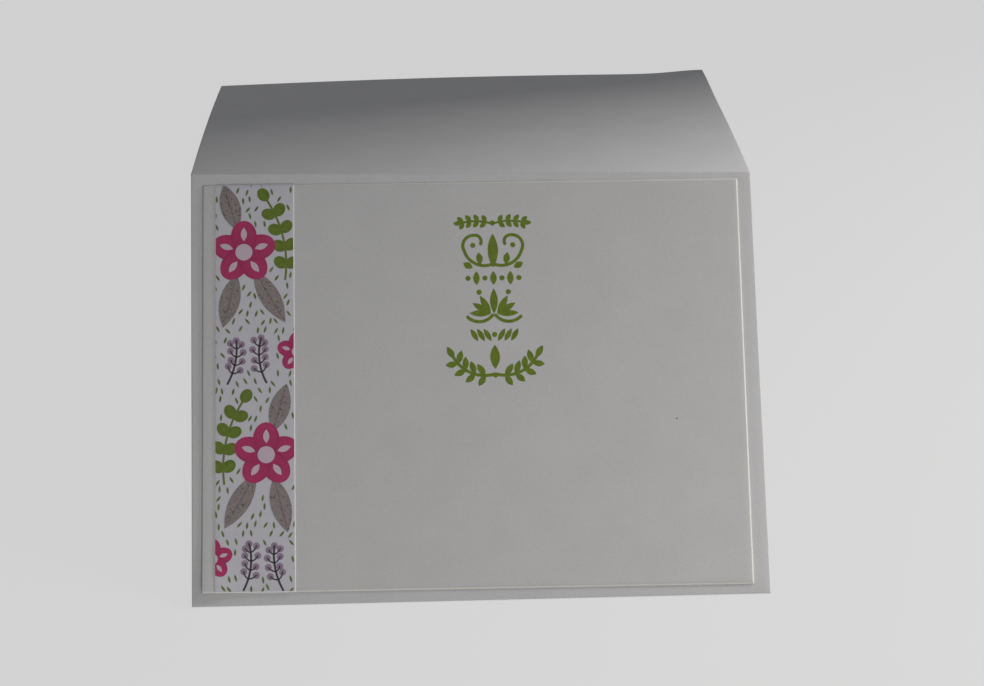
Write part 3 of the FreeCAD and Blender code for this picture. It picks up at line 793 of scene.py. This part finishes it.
# The berry sprays: dark plum stems with short bent twigs, and a lilac berry at the end of each.
BERRY_ROUTES = (((6.9, 0.6), (8.6, 6.0), (8.2, 11.8)), ((16.4, 0.4), (14.6, 5.2), (14.3, 11.2)))
BERRY_RADIUS = 0.85
BERRY_PAIRS = 4
BERRY_FIRST_PAIR = 0.25
TWIG_WIDTH = 0.35
LONG_TWIG = 2.1
SHORT_TWIG = 1.6
TWIG_SPREAD = 48
TWIG_SAG = 0.12
LILAC = (0.335, 0.255, 0.345)
PLUM = (0.066, 0.05, 0.06)
BERRY_SHADES = ((0.0, (0.86, 0.84, 0.88)), (0.6, UNCHANGED), (1.0, (1.15, 1.15, 1.12)))
STEMS_LAYER = 3
BERRIES_LAYER = 2

berries = []
stems = []
for route in BERRY_ROUTES:
    stems.append(stroke(route, STEM_WIDTH, STEMS_LAYER))
    (tip,), _ = along_route(route, [1.0])
    berries.append(disc(tip, BERRY_RADIUS, BERRIES_LAYER))
    pairs = zip(*along_route(route, shares_from(BERRY_FIRST_PAIR, BERRY_PAIRS)))
    for number, (root, heading) in enumerate(pairs):
        for side in (-1, 1):
            reach = LONG_TWIG if (number + side) % 4 else SHORT_TWIG
            direction = heading + side * TWIG_SPREAD
            tip = root + outward(direction, reach)
            bend = (root + tip) / 2 + outward(direction + 90, side * TWIG_SAG * reach)
            stems.append(stroke((root, bend, tip), TWIG_WIDTH, STEMS_LAYER, rows=7, columns=3))
            berries.append(disc(tip, BERRY_RADIUS, BERRIES_LAYER))

lilac_material, lilac_shader, lilac_place = ink("lilac_ink", LILAC, mottle=0.10, scale=1300)
along = surface_split(lilac_material, lilac_place)[1]
multiply_by(lilac_material, lilac_shader, ramp(lilac_material, along, BERRY_SHADES))
lay_print("print_lilac_berries", "print_lilac", printed(berries), lilac_material)
plum_material = ink("plum_ink", PLUM, mottle=0.10, scale=1500)[0]
lay_print("print_plum_stems", "print_plum", printed(stems), plum_material)


# The seeds: small pointed green strokes strewn between the other motifs. Their places are the
# node's own, so the node's triangles are merged, thinned to a film and carried with the panel's curl.
SEED_GREEN = (0.135, 0.20, 0.048)
SEEDS_THINNED = 0.3
MERGE_DISTANCE = 1e-7


def thinned(points):
    """The node's points in the panel's plane (x, y, height), with their heights over the strip reduced.

    This undoes on_leaf for a flat panel. height = strip_top + (height - strip_top) * SEEDS_THINNED.
    """
    foot = np.array([-CARD_WIDTH / 2, left_ends[0, 0] - centre_y, left_ends[0, 1]])
    right, away, rise = (points * MM_PER_METRE - foot).T
    up = away * np.cos(LEAF_SLOPE) + rise * np.sin(LEAF_SLOPE) - BORDER_BOTTOM
    height = rise * np.cos(LEAF_SLOPE) - away * np.sin(LEAF_SLOPE)
    right = right - BORDER_LEFT
    x = right * np.cos(PANEL_TURN) + up * np.sin(PANEL_TURN)
    y = up * np.cos(PANEL_TURN) - right * np.sin(PANEL_TURN)
    return np.stack([x, y, strip_top + (height - strip_top) * SEEDS_THINNED], axis=-1)


seed_shape = bmesh.new()
seed_shape.from_mesh(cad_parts["print_seeds"].data)
bmesh.ops.remove_doubles(seed_shape, verts=seed_shape.verts, dist=MERGE_DISTANCE)
seed_mesh = bpy.data.meshes.new("print_seeds_strewn")
seed_shape.to_mesh(seed_mesh)
seed_shape.free()
move_points(seed_mesh, thinned)
cut_and_carry(seed_mesh)
seed_material = ink("seed_green_ink", SEED_GREEN, mottle=0.25, scale=500)[0]
seeds = in_scene("print_seeds_strewn", seed_mesh, seed_material)
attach(seeds, "root")
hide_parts("print_seeds")


# The stamped ornament: six rows of leaves, scrolls and beads, stamped by hand on the panel in an
# olive green ink that took a little unevenly. Each row is drawn on the right and mirrored to the left.
STAMP_CENTRE = 71.9
STAMP_TOP = 8.9
STAMP_STROKE = 0.8
STAMP_LEAF_WIDTH = 1.6
STAMP_BEAD = 0.65
STAMP_GAP = 0.9
GARLAND = (19.4, 3.6)
SCROLL = (15.0, 8.7)
BEAD_ROW = (13.9, 3.5)
FAN = (13.9, 9.1)
CHAIN = (11.4, 3.3)
BRANCH = (23.9, 9.3)
GARLAND_PAIRS = (0.12, 0.37, 0.62, 0.87)
GARLAND_SPREAD = 52
SCROLL_LEAF_TURNS = (-8, -62)
FAN_TURNS = (30, 59, 88)
CHAIN_LEAVES = 3
CHAIN_SLANT = -30
BRANCH_PAIRS = (0.18, 0.4, 0.62, 0.84)
BRANCH_SPREAD = 56
STAMP_GREEN = (0.15, 0.218, 0.02)
STAMP_SPOTS_PER_METRE = 2600
STAMP_SPOT_SHADES = ((0.3, (1.25, 1.22, 1.5)), (0.45, UNCHANGED))
STAMP_SPOT_DETAIL = 2.0


def both_sides(plates):
    """Plates right of the centre line together with their mirror images left of it."""
    return plates + [(points * (-1, 1, 1), faces[:, ::-1], uv) for points, faces, uv in plates]


def leaf_pairs(route, shares, spread, upper, lower):
    """Pairs of leaves along a stem, turned out by a spread; upper and lower are length and width."""
    plates = []
    for place, heading in zip(*along_route(route, shares)):
        plates.append(leaf(place, heading + spread, *upper, layer=2, rows=13, columns=5))
        plates.append(leaf(place, heading - spread, *lower, layer=1, rows=13, columns=5))
    return plates


def garland_row(half, height):
    """A bead between two stems that run out to the sides, with leaves above and below them."""
    route = ((STAMP_BEAD, 0.0), (half * 0.5, height * 0.14), (half - STAMP_LEAF_WIDTH, 0.0))
    size = (height * 0.58, STAMP_LEAF_WIDTH * 0.75)
    plates = [stroke(route, STAMP_STROKE * 0.7, 0)]
    plates += leaf_pairs(route, GARLAND_PAIRS, GARLAND_SPREAD, size, size)
    plates.append(leaf((half - size[0], 0.0), -90, *size, layer=3, rows=13, columns=5))
    return both_sides(plates) + [disc((0, 0), STAMP_BEAD, 4)]


def scroll_row(half, height):
    """Two rising scrolls about an upright leaf, with a bead in each curl and leaves at its foot."""
    low = -height / 2
    foot = (STAMP_STROKE / 2, low + STAMP_STROKE)
    side = (half - STAMP_STROKE / 2, 0.0)
    head = (half * 0.62, height / 2 - STAMP_STROKE / 2)
    curl = (half * 0.4, height * 0.2)
    plates = [
        stroke((foot, (half * 0.62, low + STAMP_STROKE * 1.5), side), STAMP_STROKE, 0),
        stroke((side, (half * 0.93, height * 0.32), head), STAMP_STROKE, 1),
        stroke((head, (half * 0.42, height * 0.38), curl), STAMP_STROKE, 2),
        disc((half * 0.66, height * 0.16), STAMP_BEAD, 0),
        leaf((half * 0.42, low + STAMP_STROKE), SCROLL_LEAF_TURNS[0], height * 0.36, STAMP_LEAF_WIDTH, 3),
        leaf((half * 0.68, low), SCROLL_LEAF_TURNS[1], height * 0.3, STAMP_LEAF_WIDTH, 3),
    ]
    return both_sides(plates) + [leaf((0, low), 0, height, STAMP_LEAF_WIDTH * 1.6, 4)]


def bead_row(half, height):
    """Upright leaves and beads in turn."""
    pitch = (half - STAMP_BEAD) / 3
    plates = [
        disc((pitch, 0), STAMP_BEAD, 0),
        leaf((2 * pitch, -height / 2), 0, height, STAMP_LEAF_WIDTH, 0),
        disc((3 * pitch, 0), STAMP_BEAD, 0),
    ]
    return both_sides(plates) + [leaf((0, -height / 2), 0, height, STAMP_LEAF_WIDTH, 0)]


def fan_row(half, height):
    """A fan of leaves over two curled strokes."""
    base = height * 0.3 - height / 2
    plates = [leaf((STAMP_LEAF_WIDTH / 2, base), -turn, height * 0.58, STAMP_LEAF_WIDTH, number)
              for number, turn in enumerate(FAN_TURNS)]
    start = (STAMP_STROKE / 2, base - STAMP_STROKE / 2)
    dip = (half * 0.5, base - height * 0.22)
    end = (half - STAMP_STROKE / 2, base - STAMP_STROKE)
    plates.append(stroke((start, dip, end), STAMP_STROKE, 3))
    plates.append(disc((half * 0.52, base + height * 0.6), STAMP_BEAD, 0))
    return both_sides(plates) + [leaf((0, base), 0, height * 0.7, STAMP_LEAF_WIDTH * 1.2, 4)]


def chain_row(half, height):
    """Slanted leaves that lean out from a middle bead."""
    pitch = (half - STAMP_STROKE) / CHAIN_LEAVES
    size = (height * 1.1, STAMP_LEAF_WIDTH * 0.8)
    plates = [leaf((STAMP_STROKE + number * pitch, -height / 2), CHAIN_SLANT, *size, layer=0)
              for number in range(CHAIN_LEAVES)]
    return both_sides(plates) + [disc((0, 0), STAMP_BEAD, 0)]


def branch_row(half, height):
    """Two long sprigs that sweep out and up from the centre, the widest row."""
    route = ((STAMP_STROKE / 2, -height * 0.3), (half * 0.55, -height * 0.22), (half * 0.85, height * 0.16))
    upper = (half * 0.29, half * 0.13)
    lower = (half * 0.26, half * 0.13)
    plates = [stroke(route, STAMP_STROKE, 0)]
    plates += leaf_pairs(route, BRANCH_PAIRS, BRANCH_SPREAD, upper, lower)
    (tip,), (heading,) = along_route(route, [0.98])
    plates.append(leaf(tip, heading, *upper, layer=3))
    upright = leaf((0, -height * 0.16), 0, height * 0.66, STAMP_LEAF_WIDTH * 1.5, 0)
    return both_sides(plates) + [upright, disc((0, -height * 0.32), STAMP_BEAD, 4)]


STAMP_ROWS = ((garland_row, GARLAND), (scroll_row, SCROLL), (bead_row, BEAD_ROW),
              (fan_row, FAN), (chain_row, CHAIN), (branch_row, BRANCH))
stamp_plates = []
row_top = panel_height - STAMP_TOP
for draw, (row_width, row_height) in STAMP_ROWS:
    step = (STAMP_CENTRE, row_top - row_height / 2, PANEL_THICKNESS - strip_top)
    row_plates = draw(row_width / 2, row_height)
    stamp_plates += [(points + step, faces, uv) for points, faces, uv in row_plates]
    row_top -= row_height + STAMP_GAP
stamp_material, stamp_shader, stamp_place = ink("olive_stamp_ink", STAMP_GREEN, mottle=0.16, scale=900)
thin_spots = noise(stamp_material, stamp_place, STAMP_SPOTS_PER_METRE, STAMP_SPOT_DETAIL)
multiply_by(stamp_material, stamp_shader, ramp(stamp_material, thin_spots, STAMP_SPOT_SHADES))
stamp = make_piece("stamped_rows", stamp_plates, stamp_material, carry_to_leaf)
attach(stamp, "root")
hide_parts("stamped_ornament")


# The setting: a plain pale floor, two soft lamps and an even sky, and the camera at the
# photograph's angle, which looks down on the decorated leaf as it lies.
FLOOR_SIZE = 6.0
FLOOR_COLOUR = (0.6, 0.6, 0.6)
FLOOR_ROUGHNESS = 0.9
BACKDROP = (0.718, 0.718, 0.718)
BACKDROP_SHARE = 0.86
HORIZON = (0.633, 0.633, 0.633)
SKY = (0.178, 0.181, 0.188)
LAMPS = (
    ("side_lamp", (0.452, 0.198, 0.313), (0.538, -0.089, 0.307), 10.7, 0.14, (1.0, 0.975, 0.955)),
    ("front_lamp", (0.051, -1.297, 0.072), (0.0, -0.04, 0.03), 7.3, 0.45, (1.0, 0.978, 0.94)),
)
CAMERA_PLACE = (-0.01229, -0.45865, 0.49507)
CAMERA_RIGHT = (0.99943, -0.03369, 0.00468)
CAMERA_UP = (0.02182, 0.74048, 0.67172)
CAMERA_BACK = (-0.0261, -0.67124, 0.74078)
CAMERA_LENS = 92.84
CAMERA_SENSOR = 36.0
CAMERA_CLIP = 0.01


def place_by(obj, place, right, up, back):
    """Puts a lamp or a camera in its place, with its three axes as columns."""
    columns = np.eye(4)
    columns[:3] = np.stack([right, up, back, place], axis=-1)
    obj.matrix_world = Matrix(columns.tolist())
    bpy.context.scene.collection.objects.link(obj)


for name, place, aim, power, size, colour in LAMPS:
    lamp = bpy.data.lights.new(name, "AREA")
    lamp.energy = power
    lamp.size = size
    lamp.color = colour
    back = np.array(place) - aim
    back /= np.linalg.norm(back)
    right = np.cross((0, 0, 1), back)
    right /= np.linalg.norm(right)
    place_by(bpy.data.objects.new(name, lamp), place, right, np.cross(back, right), back)


def seen_as(tree, lit, shown, share, output):
    """Mixes a share of the shown shader into what the camera sees, straight, in a gloss or through.

    All other light meets the lit shader alone.
    """
    nodes, links = tree.nodes, tree.links
    path = nodes.new("ShaderNodeLightPath")
    seen = path.outputs["Is Camera Ray"]
    for ray in ("Is Glossy Ray", "Is Transmission Ray"):
        either = nodes.new("ShaderNodeMath")
        either.operation = "MAXIMUM"
        links.new(seen, either.inputs[0])
        links.new(path.outputs[ray], either.inputs[1])
        seen = either.outputs["Value"]
    part = nodes.new("ShaderNodeMath")
    part.operation = "MULTIPLY"
    links.new(seen, part.inputs[0])
    part.inputs[1].default_value = share
    mix = nodes.new("ShaderNodeMixShader")
    links.new(part.outputs["Value"], mix.inputs["Fac"])
    links.new(lit, mix.inputs[1])
    links.new(shown, mix.inputs[2])
    links.new(mix.outputs["Shader"], output.inputs["Surface"])


world = bpy.data.worlds.new("even_sky")
world.use_nodes = True
sky = world.node_tree.nodes["Background"]
sky.inputs["Color"].default_value = (*SKY, 1)
backdrop = world.node_tree.nodes.new("ShaderNodeBackground")
backdrop.inputs["Color"].default_value = (*HORIZON, 1)
seen_as(world.node_tree, sky.outputs["Background"], backdrop.outputs["Background"], 1.0,
        world.node_tree.nodes["World Output"])
bpy.context.scene.world = world

floor_mesh = bpy.data.meshes.new("floor")
corners = [(-FLOOR_SIZE, -FLOOR_SIZE, 0), (FLOOR_SIZE, -FLOOR_SIZE, 0),
           (FLOOR_SIZE, FLOOR_SIZE, 0), (-FLOOR_SIZE, FLOOR_SIZE, 0)]
floor_mesh.from_pydata(corners, [], [(0, 1, 2, 3)])
floor_material, floor_shader, _ = new_material("floor_paint", FLOOR_COLOUR, FLOOR_ROUGHNESS)
floor_shader.inputs["Specular IOR Level"].default_value = 0.0
floor_glow = floor_material.node_tree.nodes.new("ShaderNodeEmission")
floor_glow.inputs["Color"].default_value = (*BACKDROP, 1)
seen_as(floor_material.node_tree, floor_shader.outputs["BSDF"], floor_glow.outputs["Emission"],
        BACKDROP_SHARE, floor_material.node_tree.nodes["Material Output"])
floor_mesh.materials.append(floor_material)
floor = bpy.data.objects.new("floor", floor_mesh)
bpy.context.scene.collection.objects.link(floor)

camera = bpy.data.cameras.new("camera")
camera.lens = CAMERA_LENS
camera.sensor_width = CAMERA_SENSOR
camera.clip_start = CAMERA_CLIP
camera_object = bpy.data.objects.new("camera", camera)
place_by(camera_object, CAMERA_PLACE, CAMERA_RIGHT, CAMERA_UP, CAMERA_BACK)
bpy.context.scene.camera = camera_object
bpy.context.scene.view_settings.view_transform = "Standard"
